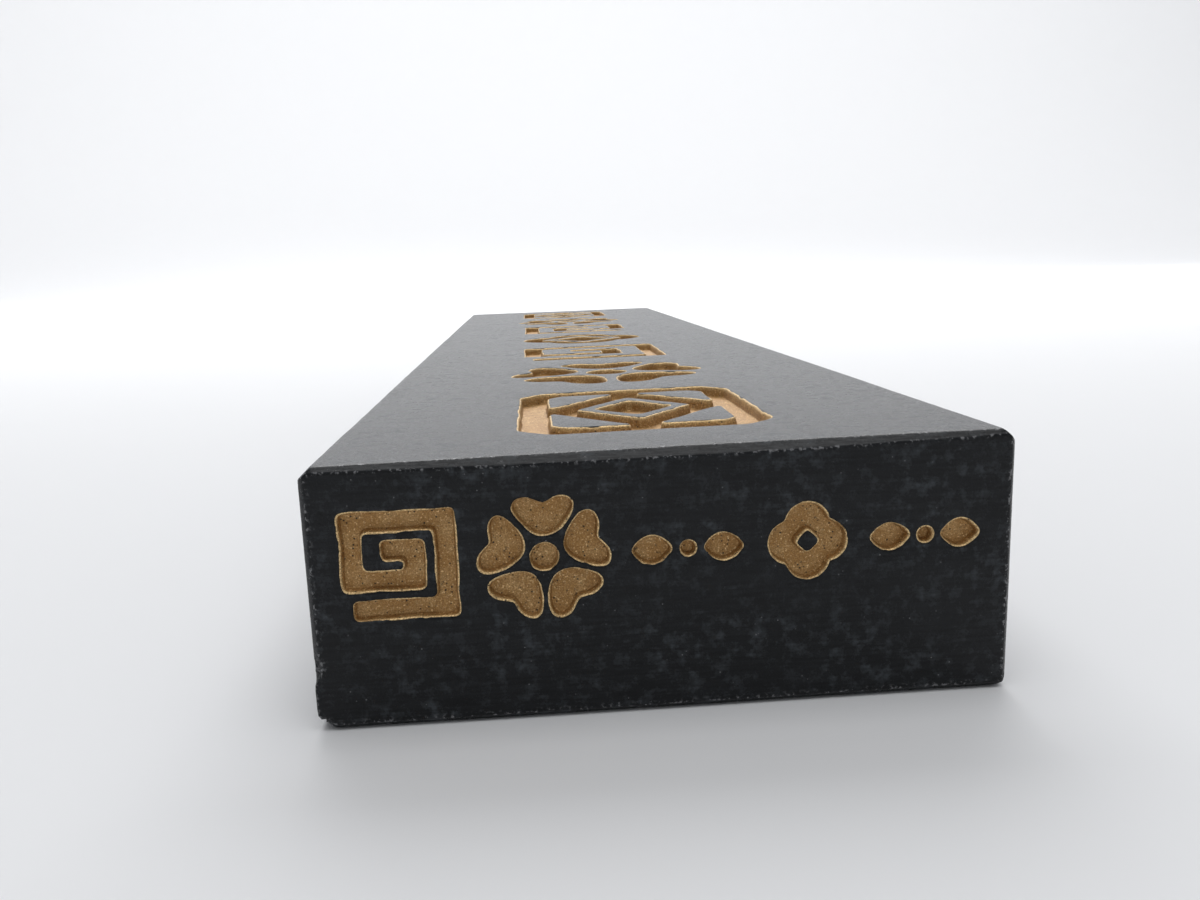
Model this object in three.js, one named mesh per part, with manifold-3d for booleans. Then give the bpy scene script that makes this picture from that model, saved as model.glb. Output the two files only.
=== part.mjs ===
// A Chinese ink stick: soot and glue pressed in a mould into one block of a liang, which is about 31 g.
// Ornaments are sunk in two faces of the block: a row of five on the head (the end towards -Y), and a column of
// seven on the upper face. Each separate stroke, petal or leaf of an ornament holds a film of dried gold paint on the
// floor of its own recess, and each film is a piece of its own.
// Millimetres, +Z up, length along Y, origin in the middle of the underside.
import * as THREE from "three";
import { mergeVertices } from "three/addons/utils/BufferGeometryUtils.js";
import Module from "manifold-3d";

// The block. A chamfer is the size of its two short sides.
const LENGTH = 100;
const WIDTH = 24;
const THICKNESS = 9.3;
const UPPER_LONG_CHAMFER = 0.42;
const LOWER_LONG_CHAMFER = 0.3;
const UPRIGHT_CHAMFER = 0.18; // the four upright edges
const END_CHAMFER = 0.22; // across the foot, above and below, and under the head

// The facet filed along the head's upper edge, widest in the middle. Depths are square to it, from the sharp edge.
const FACET_ANGLE = THREE.MathUtils.degToRad(39); // between the facet and the upper face
const FACET_DEPTH_MIDDLE = 0.23;
const FACET_DEPTH_ENDS = 0.12;

// How the ornaments are sunk and filled.
const HEAD_SINK = 0.35;
const UPPER_SINK = 0.5;
const TAPER = 0.06; // a recess is this much wider all round at its mouth than at its floor
const FILM_THICKNESS = 0.08;
const FILM_CLEARANCE = 0.01; // under the film and all round it
const ARC_SEGMENTS = 8;

// The head's row. It is drawn at these sizes, then scaled as a whole to leave the same margin at both sides.
const HEAD_MARGIN = 1.25;
const HEAD_ROW_DROP = 3.5; // from the upper face down to the row's middle
const HEAD_SPACE = 0.9; // between neighbours
const HEAD_STROKE = 0.6;
const HEAD_GAP = 0.32; // the ink left between the pieces of one ornament
const HEAD_FRET_SIZE = 3.7;
const HEAD_BLOSSOM_SIZE = 4.1;
const HEAD_SPRIG_LENGTH = 3.8;
const HEAD_SPRIG_HEIGHT = 0.9;
const HEAD_QUATREFOIL_SIZE = 2.6;

// The upper face's column, drawn and scaled in the same way to fill the length between its two margins.
const COLUMN_HEAD_MARGIN = 3.9;
const COLUMN_FOOT_MARGIN = 4.9;
const UPPER_SPACE = 3.43; // between neighbours
const UPPER_STROKE = 1.15;
const UPPER_GAP = 0.7;
const LATTICE_WIDTH = 9.6;
const LATTICE_LENGTH = 11.4;
const UPPER_BLOSSOM_SIZE = 10;
const UPPER_FRET_SIZE = 9.2;
const UPPER_QUATREFOIL_SIZE = 9.4;

const INK = new THREE.MeshStandardMaterial({ color: 0x232427, roughness: 0.6, metalness: 0 });
const GOLD_PAINT = new THREE.MeshStandardMaterial({ color: 0xa87a42, roughness: 0.45, metalness: 0.75 });

const wasm = await Module();
wasm.setup();

// A closed geometry, moved by a matrix, as a solid that can be joined and cut.
function solidOf(geometry, matrix = new THREE.Matrix4()) {
  const bare = new THREE.BufferGeometry();
  bare.setAttribute("position", geometry.getAttribute("position").clone());
  const merged = mergeVertices(bare.applyMatrix4(matrix), 1e-4);
  return new wasm.Manifold(
    new wasm.Mesh({
      numProp: 3,
      vertProperties: merged.getAttribute("position").array,
      triVerts: new Uint32Array(merged.index.array),
    }),
  );
}

function geometryOf(solid) {
  const mesh = solid.getMesh();
  const shared = new THREE.BufferGeometry();
  shared.setAttribute("position", new THREE.BufferAttribute(mesh.vertProperties, 3));
  shared.setIndex(new THREE.BufferAttribute(mesh.triVerts, 1));
  const flat = shared.toNonIndexed();
  flat.computeVertexNormals();
  return flat;
}

// Shapes extruded alike and joined into one solid.
function extruded(shapes, settings, matrix) {
  const all = { curveSegments: ARC_SEGMENTS, bevelEnabled: false, ...settings };
  return shapes.map((shape) => solidOf(new THREE.ExtrudeGeometry(shape, all), matrix)).reduce((a, b) => a.add(b));
}

// A rectangle about the origin with cut corners: lower left, lower right, upper right, upper left. 0 leaves it sharp.
function cutRectangle(width, height, cuts) {
  const points = [];
  const corners = [
    [-1, -1],
    [1, -1],
    [1, 1],
    [-1, 1],
  ];
  corners.forEach(([x, y], i) => {
    const corner = new THREE.Vector2((x * width) / 2, (y * height) / 2);
    const alongX = new THREE.Vector2(-x * cuts[i], 0).add(corner);
    const alongY = new THREE.Vector2(0, -y * cuts[i]).add(corner);
    if (cuts[i] === 0) points.push(corner);
    else points.push(...(x * y > 0 ? [alongY, alongX] : [alongX, alongY]));
  });
  return points;
}

// A prism of a length centred on a point, whose outline's x and y and whose length run along the three axes given.
function prism(points, length, axes, centre) {
  const placed = new THREE.Matrix4().makeBasis(...axes).setPosition(centre);
  placed.multiply(new THREE.Matrix4().makeTranslation(0, 0, -length / 2));
  return extruded([new THREE.Shape(points)], { depth: length }, placed);
}

// The plain block is what its section, its side view and its plan have in common, so each edge has its own chamfer.
function plainBlock() {
  const x = new THREE.Vector3(1, 0, 0);
  const y = new THREE.Vector3(0, 1, 0);
  const z = new THREE.Vector3(0, 0, 1);
  const centre = new THREE.Vector3(0, 0, THICKNESS / 2);
  const section = cutRectangle(WIDTH, THICKNESS, [
    LOWER_LONG_CHAMFER,
    LOWER_LONG_CHAMFER,
    UPPER_LONG_CHAMFER,
    UPPER_LONG_CHAMFER,
  ]);
  const sideView = cutRectangle(LENGTH, THICKNESS, [END_CHAMFER, END_CHAMFER, END_CHAMFER, 0]);
  const plan = cutRectangle(WIDTH, LENGTH, Array(4).fill(UPRIGHT_CHAMFER));
  return prism(section, LENGTH, [x, z, y.clone().negate()], centre)
    .intersect(prism(sideView, WIDTH, [y, z, x], centre))
    .intersect(prism(plan, THICKNESS, [x, y, z], centre));
}

// What the file takes off the head's upper edge: a bar laid along the edge on the facet's slope, its underside bowed.
function filings() {
  const half = WIDTH / 2;
  const rise = FACET_DEPTH_MIDDLE - FACET_DEPTH_ENDS;
  const radius = (half * half + rise * rise) / (2 * rise);
  const swing = Math.asin(half / radius);
  const bar = new THREE.Shape();
  bar.absarc(0, radius - FACET_DEPTH_MIDDLE, radius, -Math.PI / 2 - swing, -Math.PI / 2 + swing, false);
  bar.lineTo(half + FACET_DEPTH_MIDDLE, -FACET_DEPTH_ENDS);
  bar.lineTo(half + FACET_DEPTH_MIDDLE, FACET_DEPTH_MIDDLE);
  bar.lineTo(-half - FACET_DEPTH_MIDDLE, FACET_DEPTH_MIDDLE);
  bar.lineTo(-half - FACET_DEPTH_MIDDLE, -FACET_DEPTH_ENDS);
  const slopeLength = FACET_DEPTH_MIDDLE * (Math.tan(FACET_ANGLE) + 1 / Math.tan(FACET_ANGLE));
  const slope = new THREE.Matrix4().makeRotationX(Math.PI / 2 + FACET_ANGLE);
  slope.setPosition(0, -LENGTH / 2, THICKNESS);
  slope.multiply(new THREE.Matrix4().makeTranslation(0, 0, -slopeLength));
  return extruded([bar], { depth: 2 * slopeLength }, slope);
}

// The outline of a stroke of constant width along a centreline, with square ends and mitred corners.
function strokeOutline(centreline, width) {
  const mitres = centreline.map((point, i) => {
    const legs = [];
    if (i > 0) legs.push(point.clone().sub(centreline[i - 1]));
    if (i < centreline.length - 1) legs.push(centreline[i + 1].clone().sub(point));
    const normals = legs.map((leg) => new THREE.Vector2(-leg.y, leg.x).normalize());
    if (normals.length === 1) return normals[0];
    return normals[0]
      .clone()
      .add(normals[1])
      .divideScalar(1 + normals[0].dot(normals[1]));
  });
  const side = (offset) => centreline.map((point, i) => point.clone().addScaledVector(mitres[i], offset));
  return [...side(-width / 2), ...side(width / 2).reverse()];
}

// A key fret: a stroke wound inwards as a square spiral of two turns with even gaps. A hand of -1 mirrors it.
function fret(size, stroke, hand = 1) {
  const turns = 2;
  const outer = (size - stroke) / 2;
  const pitch = outer / (turns - 0.5);
  const centreline = [new THREE.Vector2(-outer * hand, -outer)];
  for (let turn = 0; turn < turns; turn++) {
    const reach = outer - turn * pitch;
    centreline.push(
      new THREE.Vector2(reach * hand, -reach),
      new THREE.Vector2(reach * hand, reach),
      new THREE.Vector2(-reach * hand, reach),
    );
    if (turn < turns - 1) centreline.push(new THREE.Vector2(-reach * hand, pitch - reach));
  }
  return [{ name: "fret", shapes: [new THREE.Shape(strokeOutline(centreline, stroke))] }];
}

function disc(radius) {
  const shape = new THREE.Shape();
  shape.absarc(0, 0, radius, 0, 2 * Math.PI, false);
  return new THREE.Shape(shape.getPoints(2 * ARC_SEGMENTS).slice(0, -1));
}

// A blossom: a round heart and five notched petals. Each petal fills its own fifth of the circle but for the gap, so
// its two sides run straight towards the heart, and its shoulders are rounded.
function blossom(size, gap) {
  const petals = 5;
  const tip = size / 2;
  const heart = tip * 0.22;
  const base = heart + gap;
  const shoulder = tip * 0.65;
  const notch = tip * 0.12;
  const half = Math.PI / petals;
  const side = (x) => Math.tan(half) * x - gap / 2 / Math.cos(half); // half a petal's width at x from the middle
  const parts = [{ name: "heart", shapes: [disc(heart)] }];
  for (let i = 0; i < petals; i++) {
    const petal = new THREE.Shape();
    petal.moveTo(base, 0);
    petal.quadraticCurveTo(base, -side(base), shoulder, -side(shoulder));
    petal.quadraticCurveTo(tip, -side(tip), tip, -side(tip) * 0.4);
    petal.lineTo(tip - notch, 0);
    petal.lineTo(tip, side(tip) * 0.4);
    petal.quadraticCurveTo(tip, side(tip), shoulder, side(shoulder));
    petal.quadraticCurveTo(base, side(base), base, 0);
    const turn = Math.PI / 2 + 2 * half * i;
    const outline = petal.getPoints(ARC_SEGMENTS).map((p) => p.rotateAround(new THREE.Vector2(), turn));
    parts.push({ name: `petal_${i + 1}`, shapes: [new THREE.Shape(outline.slice(1))] });
  }
  return parts;
}

// A sprig: two pointed leaves on either side of a berry.
function sprig(length, height, gap) {
  const berry = height * 0.27;
  const start = berry + gap;
  const middle = (start + length / 2) / 2;
  const leaf = (side) => {
    const shape = new THREE.Shape();
    shape.moveTo(side * start, 0);
    shape.quadraticCurveTo(side * middle, -side * height, (side * length) / 2, 0);
    shape.quadraticCurveTo(side * middle, side * height, side * start, 0);
    return shape;
  };
  return [
    { name: "left_leaf", shapes: [leaf(-1)] },
    { name: "berry", shapes: [disc(berry)] },
    { name: "right_leaf", shapes: [leaf(1)] },
  ];
}

function lozenge({ x, y }) {
  return [new THREE.Vector2(x, 0), new THREE.Vector2(0, y), new THREE.Vector2(-x, 0), new THREE.Vector2(0, -y)];
}

// The half-diagonals of a lozenge whose sides lie a distance inside those of another.
function insetLozenge(half, distance) {
  return half.clone().multiplyScalar(1 - (distance * half.length()) / (half.x * half.y));
}

// A quatrefoil: four round lobes, one stroke wide at their waists, about a lozenge opening. It may hold a boss.
function quatrefoil(size, stroke, bossGap = null) {
  const lobe = size * 0.27;
  const reach = size / 2 - lobe;
  const waist = (reach + Math.sqrt(2 * lobe * lobe - reach * reach)) / 2; // x and y of the notch between two lobes
  const swing = Math.atan2(waist, waist - reach);
  const outline = [];
  for (let i = 0; i < 4; i++) {
    const arc = new THREE.Path();
    arc.absarc(reach, 0, lobe, -swing, swing, false);
    const turned = arc.getPoints(ARC_SEGMENTS).map((p) => p.rotateAround(new THREE.Vector2(), (i * Math.PI) / 2));
    outline.push(...turned.slice(1));
  }
  const foil = new THREE.Shape(outline);
  const opening = insetLozenge(new THREE.Vector2(2 * waist, 2 * waist), stroke);
  foil.holes.push(new THREE.Path(lozenge(opening)));
  const parts = [{ name: "foil", shapes: [foil] }];
  if (bossGap) parts.push({ name: "boss", shapes: [new THREE.Shape(lozenge(insetLozenge(opening, bossGap)))] });
  return parts;
}

// A lattice window: a frame, and inside it a lozenge band whose tips run into the frame, about a boss.
function lattice(width, length, stroke, gap) {
  const inner = new THREE.Vector2(width / 2 - stroke, length / 2 - stroke);
  const frame = new THREE.Shape(cutRectangle(width, length, Array(4).fill(stroke)));
  frame.holes.push(new THREE.Path(cutRectangle(2 * inner.x, 2 * inner.y, Array(4).fill(stroke / 2))));
  const tips = inner.clone().addScalar(stroke / 3);
  const opening = insetLozenge(tips, stroke);
  const band = new THREE.Shape(lozenge(tips));
  band.holes.push(new THREE.Path(lozenge(opening)));
  return [
    { name: "frame", shapes: [frame, band] },
    { name: "boss", shapes: [new THREE.Shape(lozenge(insetLozenge(opening, gap)))] },
  ];
}

// Scales a row of ornaments as a whole, so that with the spaces between them they fill the room after a start, and
// gives each its parts at that scale and its middle.
function fitted(row, space, start, room) {
  const drawn = row.reduce((sum, { size }) => sum + size, (row.length - 1) * space);
  const fit = room / drawn;
  let edge = start;
  return row.map(({ name, size, parts }) => {
    const middle = edge + (size * fit) / 2;
    edge += (size + space) * fit;
    return { name, parts: parts(fit), middle };
  });
}

// The head's ornaments, from left to right.
function headOrnaments() {
  const flower = (fit) => blossom(HEAD_BLOSSOM_SIZE * fit, HEAD_GAP * fit);
  const leaves = (fit) => sprig(HEAD_SPRIG_LENGTH * fit, HEAD_SPRIG_HEIGHT * fit, HEAD_GAP * fit);
  const foil = (fit) => quatrefoil(HEAD_QUATREFOIL_SIZE * fit, HEAD_STROKE * fit);
  const row = [
    { name: "head_fret", size: HEAD_FRET_SIZE, parts: (fit) => fret(HEAD_FRET_SIZE * fit, HEAD_STROKE * fit) },
    { name: "head_blossom", size: HEAD_BLOSSOM_SIZE, parts: flower },
    { name: "head_sprig_1", size: HEAD_SPRIG_LENGTH, parts: leaves },
    { name: "head_quatrefoil", size: HEAD_QUATREFOIL_SIZE, parts: foil },
    { name: "head_sprig_2", size: HEAD_SPRIG_LENGTH, parts: leaves },
  ];
  return fitted(row, HEAD_SPACE, HEAD_MARGIN - WIDTH / 2, WIDTH - 2 * HEAD_MARGIN).map((ornament) => ({
    ...ornament,
    place: new THREE.Vector2(ornament.middle, THICKNESS - HEAD_ROW_DROP),
  }));
}

// The upper face's ornaments from the head to the foot: lattice, blossom, fret, quatrefoil, and back again.
function upperOrnaments() {
  const window = (fit) => lattice(LATTICE_WIDTH * fit, LATTICE_LENGTH * fit, UPPER_STROKE * fit, UPPER_GAP * fit);
  const flower = (fit) => blossom(UPPER_BLOSSOM_SIZE * fit, UPPER_GAP * fit);
  const key = (hand) => (fit) => fret(UPPER_FRET_SIZE * fit, UPPER_STROKE * fit, hand);
  const foil = (fit) => quatrefoil(UPPER_QUATREFOIL_SIZE * fit, UPPER_STROKE * fit, UPPER_GAP * fit);
  const column = [
    { name: "upper_1_lattice", size: LATTICE_LENGTH, parts: window },
    { name: "upper_2_blossom", size: UPPER_BLOSSOM_SIZE, parts: flower },
    { name: "upper_3_fret", size: UPPER_FRET_SIZE, parts: key(1) },
    { name: "upper_4_quatrefoil", size: UPPER_QUATREFOIL_SIZE, parts: foil },
    { name: "upper_5_fret", size: UPPER_FRET_SIZE, parts: key(-1) },
    { name: "upper_6_blossom", size: UPPER_BLOSSOM_SIZE, parts: flower },
    { name: "upper_7_lattice", size: LATTICE_LENGTH, parts: window },
  ];
  const start = COLUMN_HEAD_MARGIN - LENGTH / 2;
  return fitted(column, UPPER_SPACE, start, LENGTH - COLUMN_HEAD_MARGIN - COLUMN_FOOT_MARGIN).map((ornament) => ({
    ...ornament,
    place: new THREE.Vector2(0, ornament.middle),
  }));
}

// Lays the ornaments of one face, in whose frame z points out of the block: adds each part's film to the face, and
// returns the tools that sink the recesses. A tool clears the film at the floor, and grows by the taper up to the
// face.
function gild(face, ornaments, sink) {
  const tools = [];
  for (const { name, parts, place } of ornaments) {
    const ornament = new THREE.Group();
    ornament.position.set(place.x, place.y, 0);
    face.add(ornament);
    ornament.updateWorldMatrix(true, false);
    for (const part of parts) {
      const film = new THREE.Mesh(geometryOf(extruded(part.shapes, { depth: FILM_THICKNESS })), GOLD_PAINT);
      film.name = parts.length > 1 ? `gilt_${name}_${part.name}` : `gilt_${name}`;
      film.position.z = FILM_CLEARANCE - sink;
      ornament.add(film);
      const sides = { bevelEnabled: true, bevelThickness: sink, bevelSegments: 1 };
      const outline = { bevelOffset: FILM_CLEARANCE, bevelSize: TAPER };
      tools.push(extruded(part.shapes, { depth: sink, ...sides, ...outline }, ornament.matrixWorld));
    }
  }
  return tools;
}

const inkStick = new THREE.Group();
const headFace = new THREE.Group();
headFace.position.y = -LENGTH / 2;
headFace.rotation.x = Math.PI / 2;
const upperFace = new THREE.Group();
upperFace.position.z = THICKNESS;
inkStick.add(headFace, upperFace);

const recesses = [...gild(headFace, headOrnaments(), HEAD_SINK), ...gild(upperFace, upperOrnaments(), UPPER_SINK)];
const carved = [filings(), ...recesses].reduce((block, tool) => block.subtract(tool), plainBlock());
const inkBlock = new THREE.Mesh(geometryOf(carved), INK);
inkBlock.name = "ink_block";
inkStick.add(inkBlock);

export default inkStick;
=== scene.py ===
"""Ink stick: a pressed block with ornaments sunk in its head and upper face, each stroke painted gold.

The block is one closed surface. Six faces are laid out flat as a sharp-edged box: a fine lattice along the
edges, and triangles between it and the mouths of the sunk strokes. The section of a sunk wall is then
carried round each stroke's outline. Last, one function of place gives every point the shape that moulding,
filing and handling left: chamfers, a filed facet, chips and a slight warp. The paint films go through the
same function, so they stay seated. The stick's lengths are in millimetres, and the studio's are in metres.
"""

import logging
import math
from dataclasses import dataclass, field
from enum import Enum
from itertools import product

import bpy
import numpy as np
from mathutils import Matrix, Vector
from mathutils.geometry import delaunay_2d_cdt


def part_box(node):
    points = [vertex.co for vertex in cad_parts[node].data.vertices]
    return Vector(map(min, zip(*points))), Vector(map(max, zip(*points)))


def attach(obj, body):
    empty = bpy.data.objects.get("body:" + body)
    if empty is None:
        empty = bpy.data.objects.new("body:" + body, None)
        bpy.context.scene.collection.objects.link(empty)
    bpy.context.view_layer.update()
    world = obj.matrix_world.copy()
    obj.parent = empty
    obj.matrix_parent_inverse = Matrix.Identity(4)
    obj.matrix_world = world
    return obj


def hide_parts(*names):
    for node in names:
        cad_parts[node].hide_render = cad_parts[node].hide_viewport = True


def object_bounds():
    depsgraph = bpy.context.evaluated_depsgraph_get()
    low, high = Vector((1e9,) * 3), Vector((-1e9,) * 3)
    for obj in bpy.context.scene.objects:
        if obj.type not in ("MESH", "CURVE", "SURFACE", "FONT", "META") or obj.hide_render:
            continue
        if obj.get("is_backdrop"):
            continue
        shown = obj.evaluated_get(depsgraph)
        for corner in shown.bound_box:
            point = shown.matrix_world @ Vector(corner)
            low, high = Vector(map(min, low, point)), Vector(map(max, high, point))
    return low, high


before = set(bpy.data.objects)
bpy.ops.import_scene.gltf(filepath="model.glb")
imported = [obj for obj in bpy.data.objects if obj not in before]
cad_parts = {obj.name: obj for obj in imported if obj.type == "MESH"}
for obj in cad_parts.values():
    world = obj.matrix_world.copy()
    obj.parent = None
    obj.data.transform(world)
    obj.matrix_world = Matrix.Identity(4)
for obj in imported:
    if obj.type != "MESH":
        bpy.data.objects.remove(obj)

Triple = tuple[float, float, float]
Socket = bpy.types.NodeSocket

LOG = logging.getLogger("ink_stick")
MM = 0.001
WELD = 5  # decimal places of a millimetre at which two points are one
BODY = "root"
AXIS_HASHES = (0x9E3779B97F4A7C15, 0xC2B2AE3D27D4EB4F, 0x165667B19E3779F9)
SEED_HASH = 0x27D4EB2F
HASH_ROUNDS = ((29, 0xBF58476D1CE4E5B9), (32, 0x94D049BB133111EB))


def unit(vector: np.ndarray | Triple) -> np.ndarray:
    """A vector's direction, of length 1."""
    return np.array(vector) / np.linalg.norm(vector)


def spatial(flat: np.ndarray) -> np.ndarray:
    """Rows of two numbers with a third, 0, added to each."""
    return np.concatenate([flat, np.zeros((len(flat), 1))], axis=1)


def smoothstep(low: float, high: float, value: np.ndarray) -> np.ndarray:
    """An S-shaped step: 0 below low, 1 above high, and 3t^2 - 2t^3 between them.

    Args:
        low: Where the step starts.
        high: Where it ends.
        value: The values to step.

    Returns:
        The stepped values, from 0 to 1.
    """
    t = np.clip((value - low) / (high - low), 0.0, 1.0)
    return t * t * (3.0 - 2.0 * t)


def value_noise(points: np.ndarray, cell: float | tuple[float, ...], seed: int) -> np.ndarray:
    """Smooth random values: a random number at each corner of a lattice, blended by S-curves between.

    Args:
        points: Places in millimetres, one row each.
        cell: The lattice's pitch in millimetres, one for all axes or one for each.
        seed: Chooses the random numbers.

    Returns:
        One value for each point, from -1 to 1.
    """
    scaled = points / np.asarray(cell, dtype=float)
    base = np.floor(scaled).astype(np.int64)
    ease = smoothstep(0.0, 1.0, scaled - base)
    total = np.zeros(len(points))
    for corner in product((0, 1), repeat=3):
        key = (base + np.array(corner)).astype(np.uint64) * np.array(AXIS_HASHES, dtype=np.uint64)
        mixed = key[:, 0] ^ key[:, 1] ^ key[:, 2] ^ np.uint64(seed * SEED_HASH)
        for shift, factor in HASH_ROUNDS:
            mixed = (mixed ^ (mixed >> np.uint64(shift))) * np.uint64(factor)
        value = (mixed >> np.uint64(40)).astype(float) / float(1 << 23) - 1.0
        weight = np.prod(np.where(np.array(corner), ease, 1.0 - ease), axis=1)
        total += weight * value
    return total


def inside(points: np.ndarray, loops: list[np.ndarray]) -> np.ndarray:
    """Whether points lie inside closed loops: a ray to the right crosses them an odd number of times.

    Args:
        points: Places in a face, one row each.
        loops: Closed loops, which may be outlines and holes.

    Returns:
        One truth value for each point.
    """
    odd = np.zeros(len(points), dtype=bool)
    for loop in loops:
        low, high = loop.min(axis=0), loop.max(axis=0)
        level = (points[:, 1] >= low[1]) & (points[:, 1] <= high[1])
        near = np.flatnonzero(level & (points[:, 0] <= high[0]))
        if not len(near):
            continue
        ends = np.roll(loop, -1, axis=0)
        x, y = points[near, 0, None], points[near, 1, None]
        spans = (loop[:, 1] > y) != (ends[:, 1] > y)
        rise = np.where(ends[:, 1] == loop[:, 1], 1.0, ends[:, 1] - loop[:, 1])
        crossing = loop[:, 0] + (y - loop[:, 1]) * (ends[:, 0] - loop[:, 0]) / rise
        odd[near] ^= (spans & (x < crossing)).sum(axis=1) % 2 == 1
    return odd


def grid_triangles(rows: int, columns: int, closed: bool = False) -> np.ndarray:
    """Triangles of a grid of points numbered row by row, two for each cell.

    Args:
        rows: Points across the grid.
        columns: Points along a row.
        closed: Whether a row's last point joins its first.

    Returns:
        Point numbers, three to a triangle, anticlockwise where rows run up and columns to the right.
    """
    cells = columns if closed else columns - 1
    row, column = np.meshgrid(np.arange(rows - 1), np.arange(cells), indexing="ij")
    after = (column + 1) % columns
    a, b = row * columns + column, row * columns + after
    c, d = (row + 1) * columns + after, (row + 1) * columns + column
    halves = (np.stack(corners, axis=-1).reshape(-1, 3) for corners in ((a, b, c), (a, c, d)))
    return np.concatenate([*halves])


def filled(loops: list[np.ndarray], scattered: np.ndarray) -> tuple[np.ndarray, np.ndarray]:
    """Fills the space between closed loops with Delaunay triangles.

    Args:
        loops: An outline and its holes, or several outlines with theirs.
        scattered: Further points to use; those outside the space are left out.

    Returns:
        The points, the loops' own first and in their order, and the triangles, anticlockwise.
    """
    if len(scattered):
        scattered = scattered[inside(scattered, loops)]
    points = np.concatenate([*loops, scattered])
    edges = []
    first = 0
    for loop in loops:
        count = len(loop)
        edges += [(first + i, first + (i + 1) % count) for i in range(count)]
        first += count
    middle = points.mean(axis=0)
    flat = [Vector(point) for point in (points - middle).tolist()]
    _, _, faces, origins, _, _ = delaunay_2d_cdt(flat, edges, [], 0, 1e-6)
    source = np.array([origin[0] for origin in origins])
    triangles = source[np.array(faces)]
    kept = inside(points[triangles].mean(axis=1), loops)
    return points, triangles[kept]


def scatter(low: np.ndarray, high: np.ndarray, pitch: float, clear_of: list[np.ndarray]) -> np.ndarray:
    """A grid of points in a rectangle, less those near the loops that are there already.

    Args:
        low: The rectangle's lower corner.
        high: Its upper corner.
        pitch: The grid's pitch.
        clear_of: Loops that the points keep 0.67 of a pitch away from.

    Returns:
        The points, every second row shifted by half a pitch.
    """
    reach = pitch * 0.67
    across = np.arange(low[0] + pitch, high[0], pitch)
    up = np.arange(low[1] + pitch, high[1], pitch)
    u, v = np.meshgrid(across, up)
    u = u + (np.arange(len(up)) % 2)[:, None] * pitch / 2
    points = np.stack([u.ravel(), v.ravel()], axis=1)
    for loop in clear_of:
        near = np.all((points > loop.min(axis=0) - reach) & (points < loop.max(axis=0) + reach), axis=1)
        which = np.flatnonzero(near)
        if len(which):
            gaps = np.linalg.norm(points[which, None] - loop[None], axis=2).min(axis=1)
            points = np.delete(points, which[gaps < reach], axis=0)
    return points


class Face(Enum):
    """A face of the block: the axes of its own u and v, the axis it looks along, and 1 if it lies on that
    axis's high side. u, v and the way it looks are right-handed."""

    HEAD = (0, 2, 1, 0)
    FOOT = (2, 0, 1, 1)
    UPPER = (0, 1, 2, 1)
    UNDERSIDE = (1, 0, 2, 0)
    RIGHT = (1, 2, 0, 1)
    LEFT = (2, 1, 0, 0)

    def place(self, uv: np.ndarray, depth: np.ndarray | float, box: np.ndarray) -> np.ndarray:
        """Puts points of the face into the block's frame.

        Args:
            uv: The points' u and v, in the last axis.
            depth: How far each lies below the face.
            box: The block's lowest and highest corner.

        Returns:
            The points' x, y and z, in the last axis.
        """
        u, v, w, high = self.value
        points = np.empty(uv.shape[:-1] + (3,))
        points[..., u] = uv[..., 0]
        points[..., v] = uv[..., 1]
        points[..., w] = box[high, w] + np.asarray(depth) * (-1.0 if high else 1.0)
        return points


@dataclass
class Surface:
    """A mesh in the making: patches of points and triangles, which are welded where they meet."""

    patches: list[tuple[np.ndarray, np.ndarray]] = field(default_factory=list)

    def add(self, points: np.ndarray, triangles: np.ndarray) -> None:
        """Adds a patch: points whose last axis is x, y and z, and triangles as numbers into them."""
        self.patches.append((points.reshape(-1, 3), triangles))

    def welded(self) -> tuple[np.ndarray, np.ndarray]:
        """Joins the patches, makes points at one place one, and drops triangles that lose a corner by it.

        Returns:
            The points in use and the triangles.
        """
        counts = np.cumsum([0] + [len(points) for points, _ in self.patches])
        points = np.concatenate([points for points, _ in self.patches])
        triangles = np.concatenate([t + first for (_, t), first in zip(self.patches, counts)])
        rounded = np.round(points, WELD) + 0.0
        _, kept, number = np.unique(rounded, axis=0, return_index=True, return_inverse=True)
        triangles = number.reshape(-1)[triangles]
        a, b, c = triangles.T
        triangles = triangles[(a != b) & (b != c) & (c != a)]
        used, triangles = np.unique(triangles, return_inverse=True)
        return points[kept][used], triangles.reshape(-1, 3)


def linked(name: str, data: bpy.types.ID) -> bpy.types.Object:
    """Makes an object of some data and links it to the scene."""
    made = bpy.data.objects.new(name, data)
    bpy.context.scene.collection.objects.link(made)
    return made


def make_piece(
    name: str, points: np.ndarray, triangles: np.ndarray, marks: dict[str, np.ndarray]
) -> bpy.types.Object:
    """Makes a smooth-shaded object at the origin.

    Args:
        name: The object's name.
        points: Places in millimetres.
        triangles: Point numbers, three to a triangle.
        marks: Values from 0 to 1 for each point, which the finish reads as attributes.

    Returns:
        The object, linked to the scene.
    """
    mesh = bpy.data.meshes.new(name)
    mesh.vertices.add(len(points))
    mesh.vertices.foreach_set("co", (points * MM).astype(np.float32).ravel())
    mesh.loops.add(triangles.size)
    mesh.loops.foreach_set("vertex_index", triangles.astype(np.int32).ravel())
    mesh.polygons.add(len(triangles))
    mesh.polygons.foreach_set("loop_start", np.arange(0, triangles.size, 3, dtype=np.int32))
    mesh.polygons.foreach_set("use_smooth", np.ones(len(triangles), dtype=bool))
    for mark, values in marks.items():
        mesh.attributes.new(mark, "FLOAT", "POINT").data.foreach_set("value", values.astype(np.float32))
    mesh.update(calc_edges=True)
    mesh.validate()
    return linked(name, mesh)


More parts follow.
